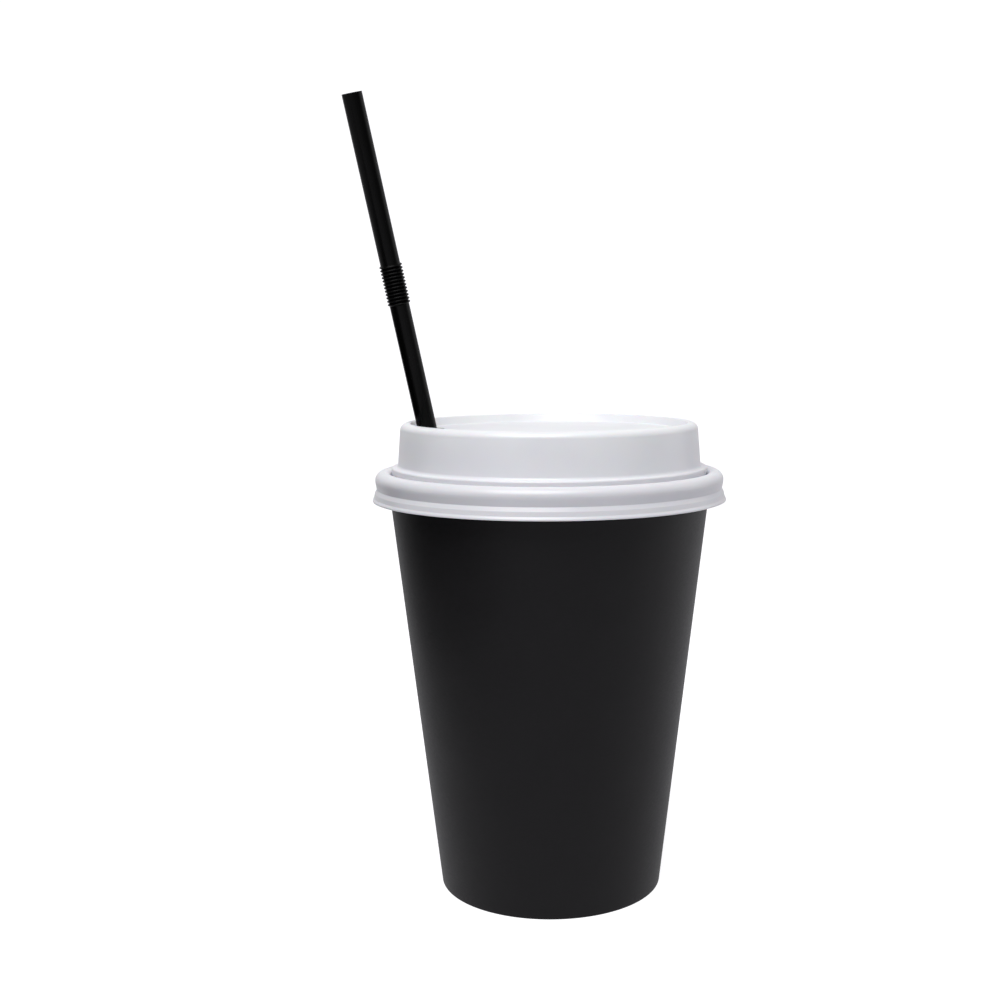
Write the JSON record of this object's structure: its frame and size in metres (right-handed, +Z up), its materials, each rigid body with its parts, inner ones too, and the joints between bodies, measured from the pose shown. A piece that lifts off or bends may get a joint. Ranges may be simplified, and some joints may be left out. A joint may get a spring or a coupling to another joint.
{
  "type": "paper coffee cup with sip lid and bendy straw",
  "caption": "Black disposable paper coffee cup with a white formed sip lid that lifts off and a black bendy straw standing in the sip slot.",
  "frame": {"origin": "centre of the cup's base ring, on the surface that the cup stands on", "axes": "+Z up along the cup's axis, -X towards the sip slot with the straw, +Y towards the cup's glued side seam"},
  "size_m": [0.0947, 0.0928, 0.2067],
  "materials": {
    "cup_paper": "matte",
    "lid_plastic": "satin",
    "straw_plastic": "gloss"
  },
  "bodies": {
    "cup": {"cup_sidewall": "cup_paper", "cup_bottom": "cup_paper"},
    "lid": {"lid": "lid_plastic", "straw_lower": "straw_plastic", "straw_bellows": "straw_plastic"},
    "straw_mouthpiece": {"straw_upper": "straw_plastic"}
  },
  "joints": [
    {"name": "lid_lift", "type": "slide", "parent": "cup", "child": "lid", "axis": [0, 0, 1], "range_m": [0, 0.11]},
    {"name": "straw_bend", "type": "hinge", "parent": "lid", "child": "straw_mouthpiece", "pos_m": [-0.03805, -0.01157, 0.15973], "axis": [0.766, -0.6428, 0], "range_deg": [-90, 90], "deforming": ["straw_bellows"]}
  ]
}
